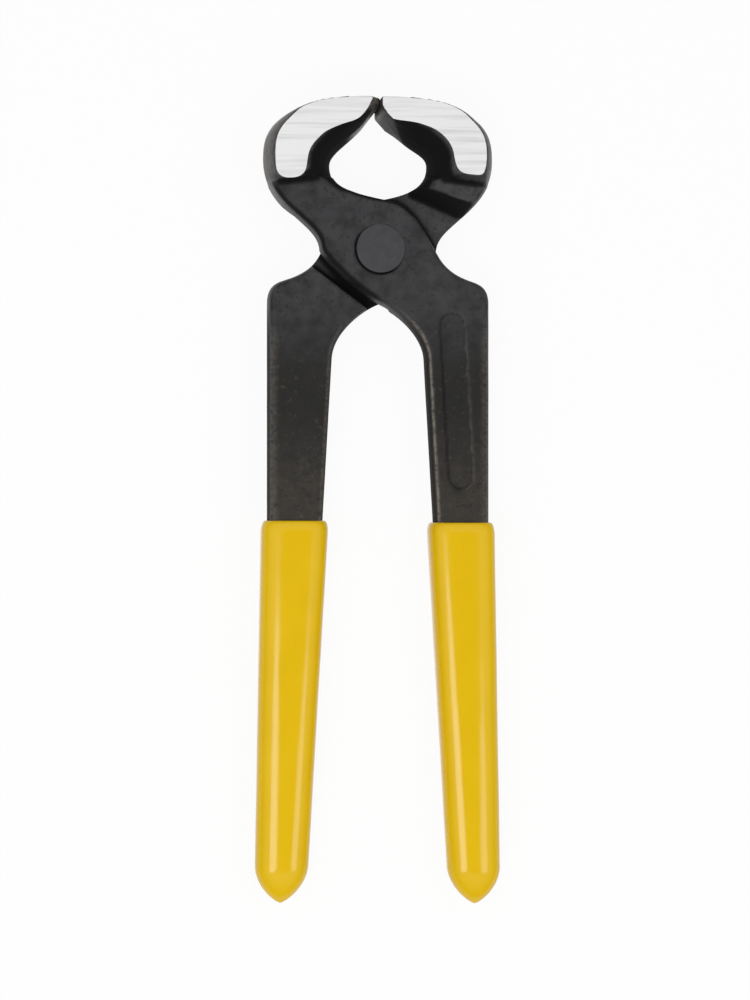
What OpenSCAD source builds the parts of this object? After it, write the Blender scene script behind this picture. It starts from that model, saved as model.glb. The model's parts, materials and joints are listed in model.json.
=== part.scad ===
// End cutting nippers: two crossed forged levers that turn on one rivet, with dipped grips.
// Each lever is one forging, lofted from the cutting edge down to the end of its tang.
// The two levers are the same forging: the rear one is the front one turned over. Only their cutting
// edges differ, because each bevel is ground by hand: the corner of the left one is rounded, and the
// corner of the right one is cut at a slant.
// Sizes are laid out about the rivet, at mid thickness, then set down with the jaws on Z = 0.

/* [Overall] */
// Overall length, cutting edges to grip tips
tool_l = 200; // [185:1:220]

/* [Jaws] */
// Width across both closed jaws
head_w = 57.2; // [54:0.2:62]
// Rivet centre to the top of the cutting edges
jaw_reach = 37.3; // [35:0.1:40]
// Length of the cutting edges, which is also the depth of the jaws
jaw_w = 18; // [15:0.5:24]
// Rivet centre to the widest point of the jaws
cheek_y = 22.3; // [20:0.1:24]
// Fullness of the brow: 2 is an ellipse, more is squarer
brow_n = 2.7; // [2.2:0.1:3]
// Height of the flat where the left cutting edge meets the right one
left_land = 1.8; // [1:0.1:3]
// Lean of the bevel behind the left cutting edge
left_lean = 37; // [32:1:42]
// Length of the left bevel
left_bevel = 6.1; // [4:0.1:7]
// Height of the flat on the right cutting edge
right_land = 3.4; // [2:0.1:4]
// Lean of the bevel behind the right cutting edge
right_lean = 41; // [36:1:45]
// Length of the right bevel
right_bevel = 8; // [6:0.1:9]
// Width of the throat behind the cutting edges
throat_w = 24.2; // [20:0.2:28]
// Rivet centre to the widest point of the throat
throat_y = 21; // [20:0.1:22]
// How far each ground face lies in from the outer cheek
cheek_draft = 2.4; // [1:0.1:3]
// How far each ground face lies in from the throat
throat_draft = 6.6; // [4:0.1:8]
// Rounding of the front corner of the left cutting edge
nose_round = 2.2; // [1:0.1:3]
// Share of the right land that the slanting cut takes off at its corner
land_cut = 0.32; // [0:0.02:0.8]

/* [Joint] */
// Thickness of the two lapped plates together
joint_t = 13; // [11:0.2:14]
// Width across the waist, beside the rivet
waist_w = 29.4; // [27:0.2:32]
// Rivet centre to the rim of the eye, on its free side
eye_r = 12.4; // [11:0.1:13.5]
// Rivet centre to the crotch between the shanks
crotch_y = 13.3; // [12:0.1:14.5]
// Rivet shank diameter
rivet_d = 9; // [7:0.2:10]
// Rivet head diameter
rivet_head_d = 12; // [11:0.2:14]
// Depth of the seat that each rivet head is peened into
seat_depth = 1.2; // [0.8:0.1:1.8]
// How far each rivet head stands proud of its plate
head_proud = 0.5; // [0.3:0.1:0.8]
// Running clearance round the rivet and under its heads
rivet_clear = 0.05; // [0.02:0.01:0.1]
// Gap between the lapped faces, and between the closed cutting edges
lap_gap = 0.1; // [0.06:0.02:0.2]

/* [Shanks] */
// Width across both shanks at the shoulders
shank_span = 55.2; // [52:0.2:58]
// Rivet centre to the top of the shoulders
shoulder_y = 7.6; // [7:0.1:9]
// Thickness of the bare shank
shank_t = 9.2; // [8:0.2:10.4]
// Rounding in from the long edges of the shank
shank_round = 1.7; // [1:0.1:2.5]
// Width between the shanks at the foot of the arch
arch_w = 23.2; // [21:0.2:26]
// Rivet centre to the foot of the arch
arch_y = 27.2; // [25:0.2:30]
// Outward run of each inner edge, for each millimetre down the shank
inner_splay = 0.0575; // [0.045:0.0005:0.065]
// Outward run of each outer edge, for each millimetre down the tang
outer_splay = 0.0175; // [0.01:0.0005:0.025]
// Thickness of the tang at its end
tang_end_t = 7.2; // [6:0.2:8]

/* [Shank panel] */
// Width of the sunk panel on each shank
panel_w = 6.8; // [5:0.2:8]
// Length of the panel
panel_l = 44.4; // [30:0.2:46]
// Rivet centre to the top of the panel
panel_y = 15.2; // [14.6:0.2:18]
// Inner edge of the shank to the middle of the panel
panel_in = 7; // [6:0.1:8]
// Depth of the panel
panel_depth = 0.5; // [0.3:0.1:0.8]

/* [Grips] */
// Rivet centre to the rim of each grip
grip_y = 67; // [63:0.5:80]
// Wall of the dipped coating
grip_wall = 1.5; // [1:0.1:2]
// Length of the rounded lip at the rim
lip_l = 3; // [2:0.2:5]
// Length of the pointed tip
tip_l = 10; // [8:0.2:13]
// Solid coating beyond the end of the tang
tip_plug = 9; // [7:0.2:12]
// Fit between the coating and the tang
grip_clear = 0.05; // [0.02:0.01:0.1]

/* [Hidden] */
$fn = 96;

steel = "#3a3a3c";
rivet_steel = "#454548";
yellow = "#e0b81c";

// Half sizes, and what follows from the driving sizes
jaw_h = jaw_w / 2;
joint_h = joint_t / 2;
shank_h = shank_t / 2;
tang_h = tang_end_t / 2;
lap_z = lap_gap / 2;
head_r = head_w / 2;
throat_r = throat_w / 2;
waist_r = waist_w / 2;
arch_r = arch_w / 2;
shank_r = shank_span / 2;
grip_end_y = tool_l - jaw_reach;
tang_y = grip_end_y - tip_plug;
pivot_y = tool_l / 2 - jaw_reach;

// Where the free rim of the eye starts, where it becomes the hip of the shank, and the shoulder
eye_deg = 75;
eye_slope_deg = 11;
hip_deg = 30;
hip_drop = 1.3;
hip_in = 0.1;
crotch_deg = 24;
shoulder_deg = 16;
shoulder_in = 4;
shoulder_r = 5.4;
eye_top = eye_r * [cos(eye_deg), sin(eye_deg)];
eye_dir = [cos(eye_slope_deg), -sin(eye_slope_deg)];
hip = [waist_r - hip_in, -hip_drop];
hip_dir = [sin(hip_deg), -cos(hip_deg)];
crotch = [0, -crotch_y];
crotch_dir = [cos(crotch_deg), -sin(crotch_deg)];
shoulder = [shank_r - shoulder_in, -shoulder_y];
shoulder_dir = [cos(shoulder_deg), -sin(shoulder_deg)];

// Grind of each cutting edge: height of its land, lean and length of its bevel, rounding of its front
// corner, and length of the cut at its back corner, which the turned over lever shows in front
left_grind = [left_land, left_lean, left_bevel, nose_round, 0];
right_grind = [right_land, right_lean, right_bevel, 0, land_cut * right_land];
nose_slope = 1.5;

// How far each curve keeps the direction that it starts or ends with
bevel_pull = 4.9;
throat_pull_up = 3;
throat_pull_down = 6.5;
cheek_pull = 12.6;
neck_pull = 6.8;
waist_pull = 1.6;
eye_pull_in = 8.4;
eye_pull_out = 5.5;
hip_pull_in = 7;
hip_pull_out = 3.5;
notch_pull = 4.9;
shoulder_pull = 2.6;
corner_pull = 3.4;
crotch_pull_in = 6;
crotch_pull_out = 5.9;
arch_pull = 5.7;

// Steps of the loft: sections in a zone, and angles round each rounded edge
zone_steps = 18;
edge_angles = [0, 18, 36, 54, 72, 90];

function lerp(a, b, t) = a + (b - a) * t;
function unit(v) = v / norm(v);
function reversed(list) = [for (i = [len(list) - 1 : -1 : 0]) list[i]];
function tail(list) = [for (i = [1 : len(list) - 1]) list[i]];
function bezier(a, b, c, d, t) =
    a * pow(1 - t, 3) + b * 3 * t * pow(1 - t, 2) + c * 3 * t * t * (1 - t) + d * pow(t, 3);

// Outline of the front forging in five zones, each run from 0 to 1 along its near and far edge.
// Zone 0, the brow: near edge over the top of the jaw, far edge down the bevel into the throat
bevel_share = 0.3;
function brow(t) = [
    min(-lap_z, -head_r * pow(sin(90 * t), 2 / brow_n)),
    lerp(cheek_y, jaw_reach, pow(cos(90 * t), 2 / brow_n))
];
function bevel_dir(grind) = -[sin(grind[1]), cos(grind[1])];
function bevel_foot(grind) = [-lap_z, jaw_reach - grind[0]];
function bevel_end(grind) = bevel_foot(grind) + grind[2] * bevel_dir(grind);
function bevel(t, grind) = t < bevel_share
    ? lerp(bevel_foot(grind), bevel_end(grind), t / bevel_share)
    : bezier(
        bevel_end(grind),
        bevel_end(grind) + bevel_pull * bevel_dir(grind),
        [-throat_r, throat_y + throat_pull_up],
        [-throat_r, throat_y],
        (t - bevel_share) / (1 - bevel_share)
    );

// Zone 1, the root of the jaw: near edge down the cheek to the waist, far edge round the throat
function cheek(t) = bezier(
    [-head_r, cheek_y],
    [-head_r, cheek_y - cheek_pull],
    [-waist_r, neck_pull],
    [-waist_r, 0],
    t
);
function throat(t) = bezier(
    [-throat_r, throat_y],
    [-throat_r, throat_y - throat_pull_down],
    eye_top - eye_pull_in * eye_dir,
    eye_top,
    t
);

// Zone 2, the plate: near edge from waist to crotch, far edge round the eye to the hip
function plate_edge(t) = bezier(
    [-waist_r, 0],
    [-waist_r, -waist_pull],
    crotch - crotch_pull_in * crotch_dir,
    crotch,
    t
);
function eye_edge(t) = bezier(
    eye_top,
    eye_top + eye_pull_out * eye_dir,
    hip - hip_pull_in * hip_dir,
    hip,
    t
);

// Zone 3, the shoulder: near edge down the arch, far edge through the notch and round the corner
notch_share = 0.45;
corner_share = 0.75;
function arch(t) = bezier(
    crotch,
    crotch + crotch_pull_out * crotch_dir,
    [arch_r, arch_pull - arch_y],
    [arch_r, -arch_y],
    t
);
function notch(t) = bezier(
    hip,
    hip + hip_pull_out * hip_dir,
    shoulder - notch_pull * shoulder_dir,
    shoulder,
    t
);
function corner(t) = bezier(
    shoulder,
    shoulder + shoulder_pull * shoulder_dir,
    [shank_r, shoulder[1] - shoulder_r + corner_pull],
    [shank_r, shoulder[1] - shoulder_r],
    t
);
function shoulder_edge(t) =
    t < notch_share ? notch(t / notch_share)
    : t < corner_share ? corner((t - notch_share) / (corner_share - notch_share))
    : lerp(corner(1), shank_out(arch_y), (t - corner_share) / (1 - corner_share));

// Zone 4, the shank and tang: straight edges, y being the distance below the rivet
function shank_in(y) = [arch_r + (y - arch_y) * inner_splay, -y];
function shank_out(y) = [shank_r + max(0, y - grip_y) * outer_splay, -y];
function zone_y(t) = lerp(arch_y, tang_y, t);
function shank_s(y) = 4 + (y - arch_y) / (tang_y - arch_y);

// Both edges at station s: the zone's number plus the share of that zone
function near_edge(s) =
    s < 1 ? brow(s)
    : s < 2 ? cheek(s - 1)
    : s < 3 ? plate_edge(s - 2)
    : s < 4 ? arch(s - 3)
    : shank_in(zone_y(s - 4));
function far_edge(s, grind) =
    s < 1 ? bevel(s, grind)
    : s < 2 ? throat(s - 1)
    : s < 3 ? eye_edge(s - 2)
    : s < 4 ? shoulder_edge(s - 3)
    : shank_out(zone_y(s - 4));

// Stations where the section changes, named for what starts there
nose_s = 0.025;
corner_s = 0.1;
facet_s = 0.15;
brow_s = 0.45;
face_s = 0.6;
ankle_s = 1.1;
foot_s = 1.16;
step_s = 1.2;
pad_s = 1.39;
lap_s = 1.525;
wall_s = 3.145;
back_s = 3.168;
bare_s = 3.5;

// How far faces lie in from the edges where no driving size says so, and how square the edges are
tip_in = 0.2;
plate_in = 1.2;
lap_in = 0.3;
jaw_sq = 1.5;
plate_sq = 3;
shank_sq = 2.6;

// Insets at the cheek, and at the hollow of the throat behind the front and behind the back face, from
// the bevel to the foot of the face
cheek_in = [0.15, 0.4, 0.9, 1, 1.45] * cheek_draft;
front_in = [0.3, 0.7, 0.92, 0.95, 1.02, 1.4] * throat_draft;
back_in = [0.1, 0.73, 1.02, 1.06, 0.91, 1.02, 1.32] * throat_draft;
step_in = 0.75 * throat_draft;
lip_in = 0.4 * throat_draft;
pad_in = [0.75, 1.3] * throat_draft;
// How the rounding and the cut at the corners of the cutting edges fade along the bevel
nose_fade = [1, 0.8, 0.7];
cut_fade = [1, 0.3, 0.2];

// Front of the plate at station s of zone 3, on its way down to the shank
function ramp(s) = lerp(joint_h, shank_h, (s - 3) / (bare_s - 3));

// Section schedule of the forging. Each row: station, height of the front and back face, inset of the
// front face from the near and far edge, the same for the back face, squareness of the edges
function sections(grind) = let (
    nose = [for (share = nose_fade) tip_in + share * grind[3]],
    cut = [for (share = cut_fade) tip_in + share * grind[4]],
    c = cheek_in,
    f = front_in,
    b = back_in,
    p = plate_in,
    r = shank_round
) [
    // cutting edge and its bevel
    [0, jaw_h - nose_slope * grind[3], -jaw_h, tip_in, tip_in, tip_in, cut[0], jaw_sq],
    [nose_s, jaw_h, -jaw_h, tip_in, nose[0], tip_in, cut[1], jaw_sq],
    [corner_s, jaw_h, -jaw_h, tip_in, nose[1], tip_in, cut[2], jaw_sq],
    [facet_s, jaw_h, -jaw_h, tip_in, nose[2], tip_in, b[0], jaw_sq],
    [bevel_share, jaw_h, -jaw_h, c[0], f[0], c[0], b[1], jaw_sq],
    // ground faces, from the brow to their feet
    [brow_s, jaw_h, -jaw_h, c[1], f[1], c[1], b[2], jaw_sq],
    [face_s, jaw_h, -jaw_h, c[2], f[2], c[2], b[3], jaw_sq],
    [1, jaw_h, -jaw_h, c[3], f[3], c[3], b[4], jaw_sq],
    [ankle_s, jaw_h, -jaw_h, c[3], f[4], c[3], b[5], jaw_sq],
    [foot_s, jaw_h, -jaw_h, c[4], f[5], c[3], b[6], jaw_sq],
    // front plate, and the pad behind it that ends at the lap wall
    [step_s, joint_h, -joint_h, p, step_in, c[2], pad_in[0], plate_sq],
    [pad_s, joint_h, -joint_h, p, lip_in, c[2], pad_in[1], plate_sq],
    // lapped plate, whose front runs down into the shank while its back climbs the handle wall
    [lap_s, joint_h, lap_z, p, p, lap_in, lap_in, plate_sq],
    [3, joint_h, lap_z, p, p, lap_in, lap_in, plate_sq],
    [wall_s, ramp(wall_s), lap_z, p, p, lap_in, lap_in, plate_sq],
    [back_s, ramp(back_s), -shank_h, p, p, p, p, plate_sq],
    // bare shank, then the tang inside its grip
    [bare_s, shank_h, -shank_h, r, r, r, r, shank_sq],
    [shank_s(grip_y), shank_h, -shank_h, r, r, r, r, shank_sq],
    [5, tang_h, -tang_h, r, r, r, r, shank_sq]
];

function section_at(rows, s) = let (
    i = max([for (k = [0 : len(rows) - 2]) if (rows[k][0] <= s) k]),
    t = (s - rows[i][0]) / (rows[i + 1][0] - rows[i][0])
) lerp(rows[i], rows[i + 1], min(t, 1));
function tang_h_at(y) = section_at(sections(left_grind), shank_s(y))[1];

// One closed section between two edge points: up the near edge, over, and back round underneath
function ring(a, b, c) = let (
    across = unit(b - a),
    mid = max(c[2], 0),
    edge = [for (w = edge_angles) [1 - pow(cos(w), 2 / c[7]), pow(sin(w), 2 / c[7])]],
    near_up = [for (e = edge) [each a + across * c[3] * e[0], lerp(mid, c[1], e[1])]],
    far_up = [for (e = edge) [each b - across * c[4] * e[0], lerp(mid, c[1], e[1])]],
    near_down = [for (e = edge) [each a + across * c[5] * e[0], lerp(mid, c[2], e[1])]],
    far_down = [for (e = edge) [each b - across * c[6] * e[0], lerp(mid, c[2], e[1])]]
) concat(near_up, reversed(far_up), tail(far_down), reversed(tail(near_down)));

// Skin over a row of rings of equal count, closed by a flat cap at each end
module loft(rings) {
    n = len(rings[0]);
    last = len(rings) - 1;
    sides = [
        for (r = [0 : last - 1], i = [0 : n - 1]) let (a = r * n, b = a + n, j = (i + 1) % n)
            each [[a + i, a + j, b + j], [a + i, b + j, b + i]]
    ];
    caps = [for (i = [1 : n - 2]) each [[0, i + 1, i], [last * n, last * n + i, last * n + i + 1]]];
    polyhedron([for (r = rings) each r], concat(sides, caps));
}

module forging(grind) {
    rows = sections(grind);
    stations = [
        for (i = [0 : len(rows) - 2])
            let (s = rows[i][0], run = rows[i + 1][0] - s, n = ceil(run * zone_steps))
                for (k = [0 : n - 1]) s + run * k / n,
        5
    ];
    loft([for (s = stations) ring(near_edge(s), far_edge(s, grind), section_at(rows, s))]);
}

// Sunk panel with round ends, running along the inner edge of the shank
module panel() {
    r = panel_w / 2;
    ends = [for (y = [panel_y + r, panel_y + panel_l - r]) shank_in(y) + [panel_in, 0]];
    side = r * unit([ends[0][1] - ends[1][1], ends[1][0] - ends[0][0]]);
    translate([0, 0, shank_h - panel_depth]) linear_extrude(joint_t) {
        for (p = ends) translate(p) circle(r);
        polygon([ends[0] - side, ends[0] + side, ends[1] + side, ends[1] - side]);
    }
}

// One lever: jaw at the left, plate to the front, shank at the right
module half(grind) {
    difference() {
        forging(grind);
        cylinder(h = 2 * joint_t, d = rivet_d + 2 * rivet_clear, center = true);
        translate([0, 0, joint_h - seat_depth])
            cylinder(h = joint_t, d = rivet_head_d + 2 * rivet_clear);
        panel();
    }
}

// Rivet shank with a low domed head, rounded at its rim, peened into the seat of each plate
rim_round = 0.6 * head_proud;
dome_rise = 0.3 * head_proud;
rim_step = 22.5;
module rivet() {
    top = joint_h + head_proud;
    under = joint_h - seat_depth + rivet_clear;
    rim_r = rivet_head_d / 2;
    upper = [
        [rivet_d / 2, under],
        [rim_r, under],
        for (w = [0 : rim_step : 90])
            [rim_r - rim_round * (1 - cos(w)), top - dome_rise - rim_round * (1 - sin(w))],
        [rim_r / 2, top - dome_rise / 4],
        [0, top]
    ];
    rotate_extrude() polygon(concat(upper, [for (p = reversed(upper)) [p[0], -p[1]]]));
}

// Dipped grip on the tang of the front lever. Its skin runs from the tip up to the lip and back inside.
lip_share = 0.3;
point_k = 0.04;
tip_sq = 1.6;
grip_round = [3, 4.6];
grip_sq = [3.2, 2.3];
body_rows = 24;
bore_rows = 8;
tip_step = 7.5;
lip_step = 15;

function grip_ring(a, b, h, inset, sq) = ring(a, b, [0, h, -h, inset, inset, inset, inset, sq]);

function grip_outer(y) = let (
    lip = sqrt(max(0, 1 - pow(max(0, 1 - (y - grip_y) / lip_l), 2))),
    wall = grip_wall * lerp(lip_share, 1, lip),
    tip = min(1, (grip_end_y - y) / tip_l),
    k = max(point_k, pow(1 - pow(1 - tip, tip_sq), 1 / tip_sq)),
    run = (y - grip_y) / (grip_end_y - grip_y),
    a = shank_in(y) - [wall, 0],
    b = shank_out(y) + [wall, 0],
    mid = (a + b) / 2,
    h = tang_h_at(y) + wall
) grip_ring(lerp(mid, a, k), lerp(mid, b, k), h * k, lerp(grip_round[0], grip_round[1], run) * k,
    lerp(grip_sq[0], grip_sq[1], run));

function grip_inner(y) = grip_ring(
    shank_in(y) - [grip_clear, 0],
    shank_out(y) + [grip_clear, 0],
    tang_h_at(y) + grip_clear,
    shank_round,
    shank_sq
);

module grip() {
    tip_y = [for (w = [0 : tip_step : 90]) grip_end_y - tip_l * (1 - cos(w))];
    body_y = [for (k = [1 : body_rows]) lerp(grip_end_y - tip_l, grip_y + lip_l, k / body_rows)];
    lip_y = [for (w = [90 - lip_step : -lip_step : 0]) grip_y + lip_l * (1 - cos(w))];
    bore_y = [for (k = [0 : bore_rows]) lerp(grip_y, tang_y + grip_clear, k / bore_rows)];
    loft(reversed(concat(
        [for (y = concat(tip_y, body_y, lip_y)) grip_outer(y)],
        [for (y = bore_y) grip_inner(y)]
    )));
}

// Set the tool down with its jaws on Z = 0 and the middle of its length at the origin
module place() { translate([0, pivot_y, jaw_h]) children(); }
module turned_over() { rotate([0, 180, 0]) children(); }

module front_half() { color(steel) place() half(left_grind); }
module rear_half() { color(steel) place() turned_over() half(right_grind); }
module pivot_rivet() { color(rivet_steel) place() rivet(); }
module right_grip() { color(yellow) place() grip(); }
module left_grip() { color(yellow) place() turned_over() grip(); }

front_half();
rear_half();
pivot_rivet();
right_grip();
left_grip();
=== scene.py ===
import json
import math

import bmesh
import bpy
import numpy as np
from mathutils import Matrix, Vector
from mathutils.bvhtree import BVHTree
from mathutils.kdtree import KDTree


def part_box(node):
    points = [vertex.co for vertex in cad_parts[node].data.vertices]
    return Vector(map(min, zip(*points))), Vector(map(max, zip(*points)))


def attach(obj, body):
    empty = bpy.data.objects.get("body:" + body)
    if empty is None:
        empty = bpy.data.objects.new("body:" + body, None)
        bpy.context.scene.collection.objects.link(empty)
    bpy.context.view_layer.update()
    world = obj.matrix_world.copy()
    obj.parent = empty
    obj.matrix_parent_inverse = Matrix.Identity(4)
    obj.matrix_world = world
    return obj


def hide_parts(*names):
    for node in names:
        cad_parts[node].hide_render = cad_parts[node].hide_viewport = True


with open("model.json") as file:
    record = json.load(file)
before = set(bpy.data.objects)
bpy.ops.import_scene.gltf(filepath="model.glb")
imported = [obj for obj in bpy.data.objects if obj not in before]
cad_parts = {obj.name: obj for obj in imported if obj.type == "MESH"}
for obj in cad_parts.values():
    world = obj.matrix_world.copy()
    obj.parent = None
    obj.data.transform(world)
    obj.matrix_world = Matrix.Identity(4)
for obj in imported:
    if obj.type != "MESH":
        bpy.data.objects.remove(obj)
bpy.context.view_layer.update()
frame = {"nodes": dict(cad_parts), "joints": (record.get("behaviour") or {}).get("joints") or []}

# Lengths are in metres, written as millimetres times MM, in the frame of the solids: jaws to +Y, front to +Z
MM = 0.001
PIVOT = Vector(frame["joints"][0]["pos_m"])

# Sockets of a Mix node: its share, the ends and the result for colours, and the ends for numbers
SHARE = 0
COLOUR_A, COLOUR_B, COLOUR = 6, 7, 2
NUMBER_A, NUMBER_B = 2, 3

# Camera: straight above the tool, a little to its left
CAMERA_TARGET = Vector((-0.7, 0.8, 9)) * MM
CAMERA_DISTANCE = 600 * MM
CAMERA_LEFT_DEG = 6
VIEW_HEIGHT = 248.8 * MM
SENSOR = 36

# Studio: a dome that is dim near the floor and dim again behind the camera, and two softboxes
DOME_RISE = (0.25, 0.8)
DOME_LEVEL = (0.18, 0.95)
DIM_TOWARDS = Vector((0.105, -0.12, 0.987)).normalized()
DIM_DEG = (9, 20)
DIM_LEVEL = 0.2
# Place, size and radiance of each softbox
SOFTBOXES = {
    "left_softbox": ((-0.29, -0.25, 0.81), (0.3, 0.4), 5.5),
    "right_softbox": ((0.41, -0.28, 0.81), (0.28, 0.34), 3.5),
}
FLOOR_SIZE = 12
FLOOR_GLOW = 0.93
FLOOR_PAINT = "#f4f4f4"
FLOOR_CONTACT_Y = PIVOT.y + 17 * MM
FLOOR_SLOPE = 0.0225
WHITE = "#ffffff"

# Black steel: sizes of its patterns, the heights between which it turns brown and then worn, the dark and
# the pale of its mottle at each, and what covers that
SCALE_SIZE = 3.5 * MM
SPECK_SIZE = 1 * MM
STEEL_GRAIN = 0.45 * MM
SHANK_BROWN_Y = (PIVOT.y - 10 * MM, PIVOT.y - 34 * MM)
WORN_BROWN_Y = (PIVOT.y - 38 * MM, PIVOT.y - 62 * MM)
PLATE_MOTTLE = ("#1f1f21", "#38383a")
SHANK_MOTTLE = ("#0f0e0c", "#181613")
WORN_MOTTLE = ("#221f1a", "#342f29")
SPECK_COLOUR = "#121213"
FLECK_COLOUR = "#6a625a"
# The pale of wear and of painted highlights, and the near black of painted shade and painted shadow
WEAR_AND_HIGHLIGHT_COLOUR = "#7d766e"
PAINTED_SHADE_COLOUR = "#020202"
WEAR_AND_HIGHLIGHT_ROUGHNESS = 0.3
PAINTED_SHADE_ROUGHNESS = 0.9

# Ground steel, rivet and grips: sizes of their patterns, and the two colours between which they vary
STREAK_LENGTH = 30 * MM
STREAK_WIDTH = 1.3 * MM
STREAK_TURN_DEG = 2.5
STREAK_COLOURS = ("#dfdfe0", "#f2f2f2")
BLOW_SIZE = 2.5 * MM
RIVET_GRAIN = 0.5 * MM
RIVET_COLOURS = ("#323235", "#47474b")
CLOUD_SIZE = 9 * MM
PEEL_SIZE = 1.6 * MM
GRIP_COLOURS = ("#e6ba05", "#edc30a")

# Forged skin: size of its faces, softening, then swells and pits left by the dies and the scale.
# The noise fades out towards the lapped faces and towards the ground faces of the jaws.
SKIN_FACE = 0.36 * MM
SKIN_SMOOTHING = 3
SWELL_SIZE = 7 * MM
SWELL_DEPTH = 0.07 * MM
PIT_SIZE = 1.1 * MM
PIT_DEPTH = 0.022 * MM
LAP_FADE = (0.4 * MM, 2.5 * MM)
FACE_FADE = (0.2 * MM, 1.0 * MM)
GRIND_DEPTH = 0.06 * MM
GRIND_EDGE = 0.0001 * MM
# The outline of a ground face is evened out, except at the cutting edges, and the skin beside it follows
OUTLINE_PASSES = 35
OUTLINE_START_X = 3 * MM
OUTLINE_REACH = 2 * MM
# The foot of a ground face is ground further down on a half's own front, and less far on its back
FOOT_Y = (PIVOT.y + 24 * MM, PIVOT.y + 19.5 * MM)
FOOT_DROP = 0.74 * MM
# The solids keep the closed cutting edges apart; the skins are drawn together there
CUTTING_Y = PIVOT.y + 33 * MM
CUTTING_REACH = (0.8 * MM, 0.05 * MM)
CUTTING_CLOSER = 0.045 * MM
WELD = 0.001 * MM

# Painted shade, and pale wear with painted highlights, in millimetres from the rivet's centre, with
# curvature per millimetre. A pair gives where a mark starts and where it is full. FLAT and STEEP are of a
# normal's share along Z, IN and OUT of its share towards the rivet and away from it.

# Painted shade in the hollow of the throat: an oval and its rim, and the ridge at half the depth that it
# leaves bare
THROAT_CENTRE = (0, 20)
THROAT_RADII = (19.5, 13)
THROAT_RIM = (1.05, 0.95)
THROAT_STEEP = (0.96, 0.8)
RIDGE = (0.3, 1.0)
# Facets above the hollow, which take less painted shade and a painted highlight. The right one ends at a
# plane, given by a point and the direction across it, and the left one narrows downwards from the tip.
FACET_POINT = (3.6, 32.9, 0)
FACET_ACROSS = (0.911, 0.414, 0.096)
FACET_EDGE = (0.2, -0.2)
FACET_END_Y = (26.6, 27.4)
FACET_TOP_Y = (36.4, 33.4)
FACET_PAINTED_SHADE = 0.35
FACET_HIGHLIGHT = 0.3
FACET_HIGHLIGHT_Y = (30, 34)
LEFT_FACET_Z = (6.2, 5)
LEFT_FACET_Y = (26, 28.5)
LEFT_FACET_TAPER = 0.4
LEFT_TIP_Y = (33, 35)
LEFT_TOP_Y = (37, 36.4)
LEFT_FACET_HIGHLIGHT = 0.7
# Painted shade in creases, in gaps between the halves, on the lapped faces and on walls that face the rivet
CREASE = (0.15, 0.5)
CREASE_SPREAD_Y = (-14, -10)
CREASE_OUT = (0.4, 0.7)
SHANK_CREASE = 0.5
CLOSE_GAP = (1.3, 0.55)
CLOSE_GAP_Y = (24, 20)
LAP_Z = (0.9, 0.4)
LAP_FLAT = (0.6, 0.8)
LAP_Y = (0, -3)
LAP_TAPER_X = (-13.5, -9)
WALL_STEEP = (0.72, 0.45)
WALL_IN = (0.2, 0.5)
HEAD_Y = (-36, -28)
# Painted shade on the sides of the shanks, and in a line on the bevel of the plates
SHANK_Y = (-12, -24)
SIDE_STEEP = (0.5, 0.25)
SIDE_PAINTED_SHADE = 0.8
LINE_FLAT = (0.35, 0.5)
LINE_STEEP = (0.985, 0.93)
LINE_Z = (4.5, 5.5)
LINE_X = (2, -2)
LINE_Y = (17, 14)
LINE_PAINTED_SHADE = 0.9
# How many points further the painted shade spreads, and how often it and curvature are softened
PAINTED_SHADE_SPREAD = 1
SOFTENING = 2
# Seat of the rivet: painted shade stays off it and off the plate around it, except for a painted shadow
# where the head stands proud
SEAT_R = (7.2, 8.4)
SEAT_OPEN_DEG = 225
SEAT_OPEN = (0.35, 0.7)
SEAT_SHADOW_R = (6.75, 6.4)
SEAT_SHADOW_Z = (5, 6)
# Wear and painted highlights on sharp edges and on the long edges of the shanks, wear near their outer
# sides, and a painted highlight on the cheeks of the jaws
EDGE_CURVE = (0.3, 1.2)
EDGE_WEAR_AND_HIGHLIGHT = 0.25
RIM_FLAT = (0.5, 0.68)
RIM_STEEP = (0.985, 0.88)
OUTER_RIM = 0.35
WORN_X = (24.6, 26.8)
WORN_RUB = 0.24
CHEEK_Y = (6, 14)
CHEEK_STEEP = (0.995, 0.9)
CHEEK_OUT = (0.2, 0.5)
CHEEK_HIGHLIGHT = 0.36
# Paler plate where the other half sweeps it, partly wear and partly painted light where the front plate
# shades it. Its depth is from the lap towards the half's own back.
SWEPT_X = (6, 8)
SWEPT_Y = (0, 3)
SWEPT_DEPTH = (-1, -0.5)
SWEPT_FLAT = (0.85, 0.95)
SWEPT_WEAR_AND_LIGHT = 0.1
# Sunk panel of the shank, which takes less wear and painted highlight: its middle at one height, how that
# moves out further down, its half width, and the share of painted highlight that its outer, lit side keeps
PANEL_AT = (18.3, -17)
PANEL_SPLAY = 0.053
PANEL_HALF_W = (5, 4.3)
PANEL_LIT_HIGHLIGHT = 0.6

# Rivet: a low dome at each end. On the front the lower left of the head stands proud of its seat, and the
# upper right is beaten down into the plate and spread.
RIVET_R = 4.5 * MM
RIVET_HEAD_R = 5.95 * MM
RIVET_SEAT_DEPTH = 1.15 * MM
RIVET_PROUD = 0.5 * MM
RIVET_CROWN = 0.15 * MM
RIVET_RIM_R = 0.27 * MM
RIVET_BEATEN_DEG = 50
RIVET_BEATEN_DROP = 0.62 * MM
RIVET_BEATEN_SPREAD = 0.4 * MM
RIVET_STEPS = 128
RIVET_RIM_STEPS = 6
RIVET_DOME_STEPS = 6

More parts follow.
